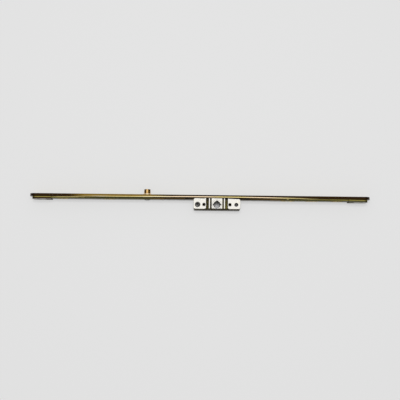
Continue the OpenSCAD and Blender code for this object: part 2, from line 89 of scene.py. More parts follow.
# Longest setback of a rounded corner, as a share of its shorter edge, and that of a corner left sharp
CORNER_SHARE = 0.48
SHARP_SETBACK = 0.02 * MM

# Half the floor's side, in metres, and its roughness
FLOOR_HALF = 3.0
FLOOR_ROUGHNESS = 0.9
# Share of the floor that camera and metal see evenly pale, and half the length over which it starts around
# the gearbox, where it is left out
PALE_SHARE = 0.70
PALE_SOFT = 0.5 * MM
# Levels of the dim room, its front wall and the light overhead, as camera and metal see them
DIM_ROOM = 0.06
FRONT_WALL = 0.85
OVERHEAD = 1.10
# Where the wall fades in, by the Y of a direction, and where the room and the light overhead do, by its Z
WALL_FADE = (-0.12, -0.42)
ROOM_FADE = (0.03, 0.14)
OVERHEAD_FADE = (0.38, 0.92)
# Length and width of the key light, its place, and the nearest that the camera sees, in metres
KEY_SIZE = (0.40, 0.20)
KEY_PLACE = (-0.02, 0.22, 1.12)
NEAR_CLIP = 0.01

# Half the length over which most finishes turn into their neighbours
SOFT = 0.1 * MM
# Heights above a sole, the side towards the gearbox, at which its own colour starts and is full: painted
# shade and wear on the strips, wear on the rack
SOLE_HEIGHTS = (0.30 * MM, 0.05 * MM)

# Painted highlight along the strip's narrow edges, a bright band: its height beside the gearbox, half its
# width and its sway
BAND_HEIGHT = 8.42 * MM
BAND_HALF = 0.41 * MM
BAND_SWAY = 0.3 * MM
# How the band drops, twice towards the left end and twice towards the right: start, end and depth
BAND_DROPS = (
    (-30 * MM, -110 * MM, 0.69 * MM),
    (-125 * MM, -190 * MM, 1.05 * MM),
    (10 * MM, 50 * MM, 0.15 * MM),
    (30 * MM, 190 * MM, 1.95 * MM),
)
# Colours of the painted highlight band by share of the faceplate's length, from the left, and how far clouds
# shift them
BAND_STOPS = (
    (0.06, "olive"), (0.14, "straw"), (0.18, "straw"), (0.20, "ivory"), (0.22, "ivory"), (0.24, "straw"),
    (0.31, "straw"), (0.35, "ivory"), (0.40, "ivory"), (0.42, "blush"), (0.53, "blush"), (0.56, "straw"),
    (0.62, "straw"), (0.65, "blush"), (0.70, "blush"), (0.76, "straw"), (0.80, "straw"), (0.86, "olive"),
)
STOP_SWAY = 0.05
# Colours of the broad faces, by the level of the clouds
BROAD_STOPS = ((0.25, "bronze"), (0.45, "straw"), (0.60, "straw"), (0.80, "blush"))
# Depth of the narrow edges' painted highlight and painted shade, from the sides, and half the length over
# which it ends
EDGE_DEPTH = 1.0 * MM
EDGE_SOFT = 0.4 * MM
# Bronze stretch in the painted shade of the upper edge: its middle, its half length and the length over which
# it fades
BRONZE_X = -110 * MM
BRONZE_REACH = 58 * MM
BRONZE_FADE = 26 * MM
# Brown stretch of the painted shade on the lower edges beside the gearbox: its half length and the length
# over which it fades
BROWN_REACH = 82 * MM
BROWN_FADE = 20 * MM
# Distance from the spindle up to which the soles are worn grey, and where this ends
WORN_REACH = 80 * MM
WORN_END = 150 * MM
# Length at the left end where the lower edge is painted dark brown as shade, from the tip, and half the
# length over which it ends
UMBER_TIP = 24 * MM
UMBER_SOFT = 1 * MM
# How far below the rods the end guides' feet start to be worn grey and are fully so, and how strongly
FOOT_FROM = 0.3 * MM
FOOT_FULL = 0.6 * MM
FOOT_WEAR = 0.7

# Levels of the bloom between which oiled steel turns from soot to rust
RUST_BLOOM = (0.45, 0.75)

# Depths under the shells' broad faces at which their ground finish starts and is full
GROUND_DEPTHS = (0.12 * MM, 0.03 * MM)
# Levels of the flow marks between which the painted shade in recesses turns from soot to a wall's shade
# colour, grime to zinc on the weathered outside, and cream to some straw
SHADE_FLOW = (0.30, 0.65)
ZINC_FLOW = (0.25, 0.70)
STRAW_FLOW = (0.45, 0.85)
STRAW_SHARE = 0.15
# Radius of the gearbox's lower corners and depth of the weathered outside that follows them
CAST_CORNER = 2.0 * MM
CAST_SKIN = 0.25 * MM
# Heights below and above which the gearbox's front is painted dark as shade; how uneven the upper one is, and
# how much it falls towards +X
RIM_LOW = -4.75 * MM
RIM_HIGH = 6.6 * MM
RIM_WAVE = 1.2 * MM
RIM_SLOPE = 0.012
# Half length of the middle of the gearbox, and how much higher the lower and the upper rim lie there
RIM_MIDDLE = 13.6 * MM
RIM_RISE = 0.45 * MM
RIM_LIFT = 0.50 * MM
# Radius of the corners of the ground face between the two rims
RIM_CORNER = 2.3 * MM
# Radius within which the handle screws' holes are painted dark as shade, and that of a shell rivet's lip,
# painted dark as the shade of its bore
HOLE_SHADE_RADIUS = 2.3 * MM
LIP_SHADE_RADIUS = 1.85 * MM
# Countersink around the left handle screw: the radius that is machined clean, and the depths where this ends
SINK_RADIUS = 3.2 * MM
SINK_DEPTHS = (1.2 * MM, 1.0 * MM)

# Levels of the tarnish between which brass turns amber
AMBER_TARNISH = (0.45, 0.80)
# Where the painted shade on the roller's flanks starts and is full, as shares of its radius, and how strong
# it is
FLANK_FROM = 0.12
FLANK_FULL = 0.44
FLANK_SHADE = 0.85
# Shares of the roller's radius between which that painted shade sets in, so that the top stays brass
FLANK_RIM = (0.80, 0.90)
# Half the length over which the cam pin's brass turns to a grey tail
TAIL_SOFT = 0.5 * MM
# Shares of red, green and blue that zinc and brass keep at a grazing angle
ZINC_GRAZE = (0.08, 0.08, 0.08)
BRASS_GRAZE = (0.90, 0.58, 0.20)


class Pattern(NamedTuple):
    """Noise: its steps a metre along X, Y and Z, its detail and how rough that detail is"""

    scale: tuple
    detail: float
    roughness: float


class Skin(NamedTuple):
    """A metal close up: how metallic it is, its grain, and the roughness and the bump that this gives"""

    metallic: float
    grain: Pattern
    rough: tuple
    strength: float
    depth: float


CLOUDS = Pattern((30, 80, 80), 3.0, 0.60)
BLOOM = Pattern((120, 260, 260), 4.0, 0.60)
FLOW = Pattern((90, 160, 160), 3.0, 0.55)
TARNISH = Pattern((260, 260, 260), 3.0, 0.55)

DRAWN_STEEL = Skin(0.9, Pattern((60, 4200, 4200), 4.0, 0.65), (0.20, 0.42), 0.25, 0.02 * MM)
OILED_STEEL = Skin(0.9, Pattern((2600, 2600, 2600), 3.0, 0.60), (0.30, 0.55), 0.20, 0.02 * MM)
CAST_ZINC = Skin(0.8, Pattern((1900, 1900, 1900), 4.0, 0.60), (0.20, 0.36), 0.16, 0.03 * MM)
TURNED_BRASS = Skin(1.0, Pattern((5200, 5200, 0), 3.0, 0.60), (0.14, 0.34), 0.20, 0.015 * MM)


def length(label, text, millimetres):
    """A length property in metres, from a default in millimetres."""
    return bpy.props.FloatProperty(
        name=label,
        description=text,
        default=millimetres * MM,
        min=0,
        precision=5,
        unit="LENGTH",
        subtype="DISTANCE",
    )


def colour(label, text, red, green, blue):
    """A colour property with a linear default."""
    return bpy.props.FloatVectorProperty(
        name=label, description=text, default=(red, green, blue), size=3, min=0, max=1, subtype="COLOR"
    )


class CremoneSizes(bpy.types.PropertyGroup):
    """Rounded edges, and the turned sizes that the frame's boxes don't give"""

    plate_edge: length("Plate edge", "Rounding of the faceplate's cut edges", 0.18)
    rod_edge: length("Rod edge", "Rounding of the rods' edges", 0.22)
    cast_edge: length("Cast edge", "Rounding of the die-cast shells' edges", 0.22)
    guide_edge: length("Guide edge", "Rounding of the end guides' edges", 0.25)
    gear_edge: length("Gear edge", "Rounding of the pinion's edges", 0.08)
    fine_edge: length("Fine edge", "Rounding of small turned edges", 0.12)
    roller_edge: length("Roller edge", "Rounding of the roller's outer edges", 0.9)
    shank_radius: length("Shank radius", "Radius of the cam pin's shank", 2.2)
    neck_radius: length("Neck radius", "Radius of the cam pin's neck in the rod", 1.8)
    head_height: length("Head height", "Height of the cam pin's top head", 0.8)
    tail_radius: length("Tail radius", "Radius of the cam pin's peened tail", 2.6)
    run_clearance: length("Running clearance", "Radial gap between the roller and its pin", 0.05)
    seat_clearance: length("Seat clearance", "Radial gap between a ring and the pin that it sits on", 0.03)
    guide_rivet_radius: length("Rod guide radius", "Radius of the rod guide's rivet", 1.5)
    guide_tail_radius: length("Rod guide tail radius", "Radius of the rod guide's domed tail", 2.3)
    lap_rivet_radius: length("Lap rivet radius", "Radius of a lap rivet", 1.5)
    lap_rivet_lip: length("Lap rivet lip", "Width that a lap rivet spreads at the top", 0.55)
    lap_head_height: length("Lap head height", "Height of a lap rivet's domed head", 0.4)
    end_rivet_radius: length("End rivet radius", "Radius of an end guide's rivet", 1.0)
    stud_radius: length("Stud radius", "Radius of a gearbox stud", 1.3)
    stud_head_height: length("Stud head height", "Height of a gearbox stud's trapped head", 1.0)
    shell_rivet_radius: length("Shell rivet radius", "Outer radius of a shell rivet", 1.9)
    shell_rivet_bore: length("Shell rivet bore", "Radius of a shell rivet's bore", 1.35)
    shell_rivet_depth: length("Shell rivet depth", "Depth of a shell rivet's bore from the front", 9)
    peen_dish: length("Peen dish", "Depth of the dish that peening leaves in a flush end", 0.12)


class CremoneFinish(bpy.types.PropertyGroup):
    """Colours of the finishes, as linear values"""

    # Blush, ivory, straw and olive colour the painted highlight band on the strip's narrow edges; blush and
    # straw also the clouds
    blush: colour("Blush", "Pale blush of the passivation beside the gearbox", 1.0, 0.79, 0.52)
    ivory: colour("Ivory", "Ivory of the passivation between roller and gearbox", 1.0, 0.87, 0.53)
    straw: colour("Straw", "Straw yellow of the passivation", 0.92, 0.76, 0.33)
    olive: colour("Olive", "Olive of the passivation towards the ends", 0.29, 0.24, 0.065)
    # Bronze colours the passivation clouds and a stretch of the painted shade along the upper edge
    bronze: colour("Bronze", "Golden brown of thicker passivation", 0.215, 0.132, 0.018)
    # Umber is painted shade: the strip's dark upper edge, its left tip and the roller's flanks
    shade_umber: colour("Umber", "Dark brown of heavy passivation", 0.026, 0.011, 0.001)
    # Moss is painted shade on the lower edges below the band and on the strips' soles
    shade_moss: colour("Moss", "Dull olive of the rods' lower edges", 0.055, 0.050, 0.016)
    # Grime colours the castings' weathered outside and the painted shade in their recesses
    grime_and_shade: colour("Grime", "Olive of the cast walls and grooves", 0.130, 0.112, 0.028)
    zinc: colour("Zinc", "Grey of machined and worn faces", 0.30, 0.29, 0.27)
    # Tan is painted shade on the lower edges beside the gearbox
    tan: colour("Tan", "Brown of the rods beside the gearbox", 0.082, 0.050, 0.014)
    # Soot is the oiled steel's own colour, and painted shade in the castings' recesses, handle holes, rims,
    # rivet lips and rivet bores
    soot_and_shade: colour("Soot", "Dark oiled steel", 0.024, 0.018, 0.010)
    rust: colour("Rust", "Brown bloom on the oiled steel", 0.075, 0.050, 0.022)
    cream: colour("Cream", "Ground face of the die-cast shells", 0.85, 0.83, 0.77)
    brass: colour("Brass", "Turned brass", 0.78, 0.50, 0.19)
    amber: colour("Amber", "Tarnish on the brass", 0.42, 0.22, 0.05)
    floor: colour("Floor", "Pale floor", 0.84, 0.84, 0.84)
    backdrop: colour("Backdrop", "Pale background", 0.76, 0.76, 0.76)


class CremoneStage(bpy.types.PropertyGroup):
    """Camera and light"""

    lens: bpy.props.FloatProperty(name="Lens", description="Focal length in millimetres", default=70, min=20)
    span: length("Span", "Width of the picture at the spindle's height", 448)
    aim_x: bpy.props.FloatProperty(
        name="Aim X", description="Where the camera looks, along the rod", default=-18.9 * MM, unit="LENGTH"
    )
    aim_y: bpy.props.FloatProperty(
        name="Aim Y", description="Where the camera looks, across the rod", default=5.5 * MM, unit="LENGTH"
    )
    elevation: bpy.props.FloatProperty(
        name="Elevation", description="Camera above the horizon", default=math.radians(84.5), subtype="ANGLE"
    )
    roll: bpy.props.FloatProperty(
        name="Roll",
        description="Turn of the camera about its own line",
        default=math.radians(0.67),
        subtype="ANGLE",
    )
    key_power: bpy.props.FloatProperty(
        name="Key power", description="Power of the key light", default=5.4, min=0
    )
    sky_level: bpy.props.FloatProperty(
        name="Sky level", description="Even light of the room", default=0.55, min=0
    )


def sizes():
    return bpy.context.scene.cremone_sizes


def finish():
    return bpy.context.scene.cremone_finish


# Surfaces


def grid_faces(rows, columns, close_rows=False):
    """Quads of a grid of points, row by row; the columns close on themselves, and the rows where asked."""
    i = np.arange(rows if close_rows else rows - 1)[:, None]
    j = np.arange(columns)[None, :]
    after = (i + 1) % rows
    beside = (j + 1) % columns
    corners = (i * columns + j, i * columns + beside, after * columns + beside, after * columns + j)
    return np.stack(corners, axis=-1).reshape(-1, 4)


def rounded_outline(corners, setbacks):
    """A closed outline whose corners become curves.

    At the corner P with unit edges a and b towards its neighbours, the curve is
    P + t (a (1 - s)^2 + b s^2) for s from 0 to 1: it leaves both edges at the setback t from the corner.
    """
    points = np.asarray(corners, float)
    back = np.roll(points, 1, axis=0) - points
    ahead = np.roll(points, -1, axis=0) - points
    back_length = np.linalg.norm(back, axis=1, keepdims=True)
    ahead_length = np.linalg.norm(ahead, axis=1, keepdims=True)
    widest = CORNER_SHARE * np.minimum(back_length, ahead_length)
    setback = np.minimum(np.asarray(setbacks, float)[:, None], widest)
    s = np.linspace(0, 1, CORNER_STEPS + 1)[None, :, None]
    a = (back / back_length * setback)[:, None, :]
    b = (ahead / ahead_length * setback)[:, None, :]
    return (points[:, None, :] + a * (1 - s) ** 2 + b * s**2).reshape(-1, 2)


def dome(radius, base, top):
    """Profile of a low dome from its rim to its middle: r = R cos t, h = base + (top - base) sin t."""
    t = np.linspace(0, math.pi / 2, DOME_STEPS)
    return np.stack((radius * np.cos(t), base + (top - base) * np.sin(t)), axis=1)


def dish(radius, rim, depth):
    """Profile of a shallow dish from its middle to its rim: h = rim - depth cos^2(pi r / 2R)."""
    r = np.linspace(0, radius, DOME_STEPS)
    return np.stack((r, rim - depth * np.cos(math.pi * r / (2 * radius)) ** 2), axis=1)


def turned(profile, centre, along="Y"):
    """A profile of points (r, h) turned by t about a line: centre + h k + r (i cos t + j sin t)."""
    t = np.linspace(0, 2 * math.pi, TURN_STEPS, endpoint=False)
    r = profile[:, 0][:, None]
    across = r * np.cos(t)
    other = r * np.sin(t)
    height = np.repeat(profile[:, 1][:, None], TURN_STEPS, axis=1)
    order = (across, height, other) if along == "Y" else (across, other, height)
    return (np.stack(order, axis=-1) + np.asarray(centre)).reshape(-1, 3)


def new_object(name, vertices, faces):
    """Puts points and faces into a mesh at the origin, with its poles closed and its faces outwards."""
    mesh = bpy.data.meshes.new(name)
    mesh.from_pydata(vertices.tolist(), [], faces.tolist())
    shape = bmesh.new()
    shape.from_mesh(mesh)
    bmesh.ops.remove_doubles(shape, verts=shape.verts, dist=MERGE)
    bmesh.ops.recalc_face_normals(shape, faces=shape.faces)
    shape.to_mesh(mesh)
    shape.free()
    return shown(name, mesh)


def shown(name, mesh):
    """Links a mesh as an object, smooth between its sharp edges."""
    mesh.polygons.foreach_set("use_smooth", np.ones(len(mesh.polygons), bool))
    mesh.set_sharp_from_angle(angle=SHARP)
    piece = bpy.data.objects.new(name, mesh)
    bpy.context.scene.collection.objects.link(piece)
    return piece


def stand_for(piece, node, material):
    """Gives a piece its finish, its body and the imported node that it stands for."""
    record = frame["record"]
    bodies = record["behaviour"]["bodies"]
    body = next(name for name, members in bodies.items() if node in members)
    piece.data.materials.clear()
    piece.data.materials.append(material)
    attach(piece, body)
    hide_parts(node)


def turned_piece(node, material, profile, centres, ring=False, along="Y"):
    """One object for a node's turned solids: one profile at each centre, closed on itself for a ring."""
    grids = [turned(profile, centre, along) for centre in centres]
    quads = grid_faces(len(profile), TURN_STEPS, close_rows=ring)
    offsets = (np.arange(len(centres)) * len(profile) * TURN_STEPS)[:, None, None]
    faces = (quads[None, :, :] + offsets).reshape(-1, 4)
    piece = new_object(node + "_turned", np.concatenate(grids), faces)
    stand_for(piece, node, material)


def ring_piece(node, material, bore, centres, low_setback, high_setback):
    """A flat ring around a bore, as wide and as tall as its node, with a setback for each outer corner."""
    fine = sizes().fine_edge
    low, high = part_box(node)
    radius = (high.x - low.x) / 2
    corners = ((bore, low.y), (radius, low.y), (radius, high.y), (bore, high.y))
    outline = rounded_outline(corners, (fine, low_setback, high_setback, fine))
    turned_piece(node, material, outline, centres, ring=True)


def rounded_copy(node, material, width):
    """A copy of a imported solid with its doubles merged, its flat faces joined and its edges rounded."""
    mesh = frame["nodes"][node].data.copy()
    mesh.name = node + "_rounded"
    normals = mesh.attributes.get("custom_normal")
    if normals:
        mesh.attributes.remove(normals)
    shape = bmesh.new()
    shape.from_mesh(mesh)
    bmesh.ops.remove_doubles(shape, verts=shape.verts, dist=MERGE)
    bmesh.ops.dissolve_limit(shape, angle_limit=FLAT, verts=shape.verts, edges=shape.edges)
    shape.to_mesh(mesh)
    shape.free()
    piece = shown(node + "_rounded", mesh)
    bevel = piece.modifiers.new("Rounded edges", "BEVEL")
    bevel.width = width
    bevel.segments = EDGE_STEPS
    bevel.limit_method = "ANGLE"
    bevel.angle_limit = SHARP
    bevel.use_clamp_overlap = False
    bevel.harden_normals = True
    stand_for(piece, node, material)


def middle(node):
    """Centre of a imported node's box."""
    low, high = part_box(node)
    return (low + high) / 2


def places(node, axis=0):
    """Centres along one axis of the separate solids of a node, from the gaps between its vertices."""
    vertices = frame["nodes"][node].data.vertices
    points = np.empty(3 * len(vertices), np.float32)
    vertices.foreach_get("co", points)
    values = np.unique(np.round(points[axis::3].astype(float), DECIMALS))
    breaks = np.flatnonzero(np.diff(values) > APART)
    starts = np.concatenate(([0], breaks + 1))
    ends = np.concatenate((breaks, [len(values) - 1]))
    return (values[starts] + values[ends]) / 2


# Finishes


def add(tree, kind, inputs=None, **settings):
    """Adds a shader node, sets its values and links the sockets given among its inputs."""
    made = tree.nodes.new(kind)
    for key, value in settings.items():
        setattr(made, key, value)
    for key, value in (inputs or {}).items():
        if isinstance(value, bpy.types.NodeSocket):
            tree.links.new(value, made.inputs[key])
        else:
            made.inputs[key].default_value = value
    return made


def opaque(rgb):
    return (*rgb, 1.0)


def grey(level):
    return opaque((level,) * 3)


def math_node(tree, operation, first, second=0.0, clamp=False):
    made = add(tree, "ShaderNodeMath", {0: first, 1: second}, operation=operation, use_clamp=clamp)
    return made.outputs[0]


def fade(tree, value, start, end):
    """0 before start, 1 after end, smooth between."""
    made = add(tree, "ShaderNodeMapRange", {0: value, 1: start, 2: end}, interpolation_type="SMOOTHSTEP")
    return made.outputs[0]


def noise(tree, place, pattern):
    """Noise of a pattern, from 0 to 1, mostly about 0.5."""
    stretched = add(tree, "ShaderNodeMapping", {"Vector": place, "Scale": pattern.scale}).outputs[0]
    inputs = {"Vector": stretched, "Scale": 1.0, "Detail": pattern.detail, "Roughness": pattern.roughness}
    return add(tree, "ShaderNodeTexNoise", inputs).outputs[0]


def about_zero(tree, level):
    """Noise moved from about 0.5 to about 0."""
    return math_node(tree, "SUBTRACT", level, 0.5)


def mix(tree, factor, first, second):
    return add(tree, "ShaderNodeMix", {0: factor, 6: first, 7: second}, data_type="RGBA").outputs[2]


def ramp(tree, value, stops):
    """Colour ramp of stops, each a place and the name of a colour."""
    made = add(tree, "ShaderNodeValToRGB", {0: value})
    elements = made.color_ramp.elements
    while len(elements) < len(stops):
        elements.new(0.5)
    for element, (place, name) in zip(elements, stops):
        element.position = place
        element.color = opaque(getattr(finish(), name))
    return made.outputs[0]


def seen_rays(tree):
    """1 for the rays of the camera and of reflections and refractions, 0 for diffuse light."""
    path = add(tree, "ShaderNodeLightPath").outputs
    shiny = math_node(tree, "MAXIMUM", path["Is Glossy Ray"], path["Is Transmission Ray"])
    return math_node(tree, "MAXIMUM", path["Is Camera Ray"], shiny)


def distance(tree, first, second):
    """Length of the flat vector of two parts."""
    flat = add(tree, "ShaderNodeCombineXYZ", {0: first, 1: second}).outputs[0]
    return add(tree, "ShaderNodeVectorMath", {0: flat}, operation="LENGTH").outputs["Value"]


def around_line(tree, across, along, radius):
    """1 within a radius of the line where both distances are 0, smooth over twice SOFT, 0 outside."""
    return fade(tree, distance(tree, across, along), radius + SOFT, radius - SOFT)


def past(tree, value, limit):
    """How far a value lies above a limit, or 0 below it."""
    return math_node(tree, "MAXIMUM", math_node(tree, "SUBTRACT", value, limit), 0.0)


def at_sole(tree, height, sole):
    """1 at the height of a sole, 0 above it."""
    start, full = SOLE_HEIGHTS
    return fade(tree, height, sole + start, sole + full)


def metal(name, skin):
    """A new material and its tree, shader and Object coordinates."""
    material = bpy.data.materials.new(name)
    material.use_nodes = True
    tree = material.node_tree
    shader = tree.nodes["Principled BSDF"]
    shader.inputs["Metallic"].default_value = skin.metallic
    place = add(tree, "ShaderNodeTexCoord").outputs["Object"]
    return material, tree, shader, place


def finish_surface(tree, shader, base, place, skin):
    """Links a colour, and the roughness and the bump of a skin's grain, to the shader."""
    grain = noise(tree, place, skin.grain)
    low, high = skin.rough
    rough = add(tree, "ShaderNodeMapRange", {0: grain, 3: low, 4: high})
    bump = add(tree, "ShaderNodeBump", {"Height": grain, "Strength": skin.strength, "Distance": skin.depth})
    tree.links.new(base, shader.inputs["Base Color"])
    tree.links.new(rough.outputs[0], shader.inputs["Roughness"])
    tree.links.new(bump.outputs[0], shader.inputs["Normal"])


def strip_edge(tree, axes, clouds):
    """Painted light and shade of the strip's narrow edges.

    The middle of a bright band, a painted highlight, lies at y = Y - sum of D s(x), where each s is a smooth
    step of BAND_DROPS. The band goes through the colours of BAND_STOPS. Above it the edge is painted dark
    brown as shade, with a bronze stretch. Below it the edge is painted dull olive as shade, but tan beside
    the gearbox and dark brown at the left tip.
    """
    colours = finish()
    sway = about_zero(tree, clouds)
    above = math_node(tree, "SUBTRACT", axes[1], BAND_HEIGHT)
    for start, end, depth in BAND_DROPS:
        drop = math_node(tree, "MULTIPLY", fade(tree, axes[0], start, end), depth)
        above = math_node(tree, "ADD", above, drop)
    above = math_node(tree, "ADD", above, math_node(tree, "MULTIPLY", sway, BAND_SWAY))

    low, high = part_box("faceplate")
    reach = add(tree, "ShaderNodeMapRange", {0: axes[0], 1: low.x, 2: high.x}).outputs[0]
    tone = math_node(tree, "ADD", reach, math_node(tree, "MULTIPLY", sway, STOP_SWAY), clamp=True)
    # Painted highlight: the bright band's colours along the strip
    band = ramp(tree, tone, BAND_STOPS)

    stretch = math_node(tree, "ABSOLUTE", math_node(tree, "SUBTRACT", axes[0], BRONZE_X))
    bronzed = fade(tree, math_node(tree, "SUBTRACT", BRONZE_REACH, stretch), 0.0, BRONZE_FADE)
    # Painted shade above the band: dark brown, with a bronze stretch
    upper = mix(tree, bronzed, opaque(colours.shade_umber), opaque(colours.bronze))
    # Painted shade below the band: dull olive, brown beside the gearbox, dark brown at the left tip
    beside = math_node(tree, "SUBTRACT", BROWN_REACH, math_node(tree, "ABSOLUTE", axes[0]))
    lower = mix(tree, fade(tree, beside, 0.0, BROWN_FADE), opaque(colours.shade_moss), opaque(colours.tan))
    tip_end = low.x + UMBER_TIP
    tip = fade(tree, axes[0], tip_end + UMBER_SOFT, tip_end - UMBER_SOFT)
    lower = mix(tree, tip, lower, opaque(colours.shade_umber))
    edge = mix(tree, fade(tree, above, -BAND_HALF - SOFT, -BAND_HALF + SOFT), lower, band)
    return mix(tree, fade(tree, above, BAND_HALF - SOFT, BAND_HALF + SOFT), edge, upper)


def strip_face(tree, axes, clouds, sole):
    """Colour of the strip's broad faces: clouded, and on the sole painted dull olive as shade, worn grey
    beside the gearbox.
    """
    colours = finish()
    # Painted shade on the sole: dull olive, worn grey near the spindle
    worn = fade(tree, math_node(tree, "ABSOLUTE", axes[0]), WORN_END, WORN_REACH)
    worn = math_node(tree, "MULTIPLY", worn, clouds)
    shaded = mix(tree, worn, opaque(colours.shade_moss), opaque(colours.zinc))
    return mix(tree, at_sole(tree, axes[1], sole), ramp(tree, clouds, BROAD_STOPS), shaded)


def passivated(name, node):
    """Yellow passivation on drawn steel strip, clouded on its broad faces, with a painted highlight and
    painted shade along its narrow edges.

    The narrow edges, round ends too, are the last EDGE_DEPTH of the node's width. Feet that reach below the
    node are worn grey.
    """
    material, tree, shader, place = metal(name, DRAWN_STEEL)
    axes = add(tree, "ShaderNodeSeparateXYZ", {0: place}).outputs
    clouds = noise(tree, place, CLOUDS)
    solid_low, solid_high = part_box(node)
    # Painted highlight and painted shade along the narrow edges
    edge = strip_edge(tree, axes, clouds)
    foot = fade(tree, axes[1], solid_low.y - FOOT_FROM, solid_low.y - FOOT_FULL)
    edge = mix(tree, math_node(tree, "MULTIPLY", foot, FOOT_WEAR), edge, opaque(finish().zinc))
    face = strip_face(tree, axes, clouds, solid_low.y)

    low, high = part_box("faceplate")
    straight = (high.x - low.x) / 2 - high.z
    along = math_node(tree, "ABSOLUTE", math_node(tree, "SUBTRACT", axes[0], (low.x + high.x) / 2))
    across = distance(tree, past(tree, along, straight), axes[2])
    edge_from = solid_high.z - EDGE_DEPTH
    base = mix(tree, fade(tree, across, edge_from - EDGE_SOFT, edge_from + EDGE_SOFT), face, edge)
    finish_surface(tree, shader, base, place, DRAWN_STEEL)
    return material


def oiled_steel():
    """Dark oiled steel with a brown bloom, worn grey where the rack slides."""
    colours = finish()
    material, tree, shader, place = metal("oiled_steel", OILED_STEEL)
    height = add(tree, "ShaderNodeSeparateXYZ", {0: place}).outputs[1]
    bloom = fade(tree, noise(tree, place, BLOOM), *RUST_BLOOM)
    base = mix(tree, bloom, opaque(colours.soot_and_shade), opaque(colours.rust))
    worn = at_sole(tree, height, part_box("rack_slide")[0].y)
    base = mix(tree, worn, base, opaque(colours.zinc))
    finish_surface(tree, shader, base, place, OILED_STEEL)
    return material


def cast_wall(tree, axes, sideways, flow, inside, shade):
    """Colour of the castings' walls: painted shade in the recesses and in the handle screws' holes, weathered
    outside, machined countersink.
    """
    colours = finish()
    # Painted shade in the recesses: soot turning to the wall's shade colour
    recess = mix(tree, fade(tree, flow, *SHADE_FLOW), opaque(colours.soot_and_shade), opaque(shade))
    weathered = mix(tree, fade(tree, flow, *ZINC_FLOW), opaque(colours.grime_and_shade), opaque(colours.zinc))
    wall = mix(tree, inside, weathered, recess)
    screws = next(mount for mount in frame["record"]["mounts"] if mount["name"] == "handle_screws")
    screw_x = screws["dims"]["spacing_x_mm"] / 2 * MM
    # Painted shade in the handle screws' holes
    hole_shade = around_line(tree, math_node(tree, "SUBTRACT", sideways, screw_x), axes[1], HOLE_SHADE_RADIUS)
    wall = mix(tree, hole_shade, wall, opaque(colours.soot_and_shade))
    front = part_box("gearbox_front_shell")[1].z
    start, full = SINK_DEPTHS
    machined = around_line(tree, math_node(tree, "ADD", axes[0], screw_x), axes[1], SINK_RADIUS)
    machined = math_node(tree, "MULTIPLY", machined, fade(tree, axes[2], front - start, front - full))
    return mix(tree, machined, wall, opaque(colours.zinc))


def painted_rim_shade(tree, axes, sideways, flow, inside):
    """1 where shade is painted: on the rims above and below the ground face and on the rivets' lips, 0
    elsewhere.
    """
    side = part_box("gearbox_front_shell")[1].x
    # Painted shade on the rims above and below the ground face, with rounded corners
    central = fade(tree, sideways, RIM_MIDDLE + SOFT, RIM_MIDDLE - SOFT)
    past_face = past(tree, sideways, side + SOFT - RIM_CORNER)
    wave = math_node(tree, "MULTIPLY", about_zero(tree, flow), RIM_WAVE)
    wave = math_node(tree, "ADD", wave, math_node(tree, "MULTIPLY", axes[0], RIM_SLOPE))
    wave = math_node(tree, "SUBTRACT", wave, math_node(tree, "MULTIPLY", central, RIM_LIFT))
    uneven = math_node(tree, "ADD", axes[1], wave)
    below_upper = around_line(tree, past_face, past(tree, uneven, RIM_HIGH - RIM_CORNER), RIM_CORNER)
    raised = math_node(tree, "SUBTRACT", axes[1], math_node(tree, "MULTIPLY", central, RIM_RISE))
    above_lower = around_line(tree, past_face, past(tree, RIM_LOW + RIM_CORNER, raised), RIM_CORNER)
    between = math_node(tree, "MULTIPLY", below_upper, above_lower)
    rim = math_node(tree, "MULTIPLY", inside, math_node(tree, "SUBTRACT", 1.0, between))
    rivet_x = float(places("shell_rivets").max())
    # Painted shade on a shell rivet's lip, widening its dark bore
    lip = around_line(tree, math_node(tree, "SUBTRACT", sideways, rivet_x), axes[1], LIP_SHADE_RADIUS)
    return math_node(tree, "MAXIMUM", rim, lip)


def die_cast(name, shade):
    """Die-cast zinc: ground bright on its two broad faces between rims painted dark as shade, with shade
    painted in its recesses, and weathered outside.
    """
    colours = finish()
    material, tree, shader, place = metal(name, CAST_ZINC)
    shader.inputs["Specular Tint"].default_value = opaque(ZINC_GRAZE)
    axes = add(tree, "ShaderNodeSeparateXYZ", {0: place}).outputs
    sideways = math_node(tree, "ABSOLUTE", axes[0])
    flow = noise(tree, place, FLOW)
    low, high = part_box("gearbox_front_shell")
    past_side = past(tree, sideways, high.x - CAST_CORNER)
    past_foot = past(tree, low.y + CAST_CORNER, axes[1])
    inside = around_line(tree, past_side, past_foot, CAST_CORNER - CAST_SKIN)

    tinge = math_node(tree, "MULTIPLY", fade(tree, flow, *STRAW_FLOW), STRAW_SHARE)
    bright = mix(tree, tinge, opaque(colours.cream), opaque(colours.straw))
    start, full = GROUND_DEPTHS
    ground = fade(tree, math_node(tree, "ABSOLUTE", axes[2]), high.z - start, high.z - full)
    base = mix(tree, ground, cast_wall(tree, axes, sideways, flow, inside, shade), bright)
    # Painted shade, soot-dark, on the rims and the rivets' lips
    base = mix(tree, painted_rim_shade(tree, axes, sideways, flow, inside), base, opaque(colours.soot_and_shade))
    finish_surface(tree, shader, base, place, CAST_ZINC)
    return material


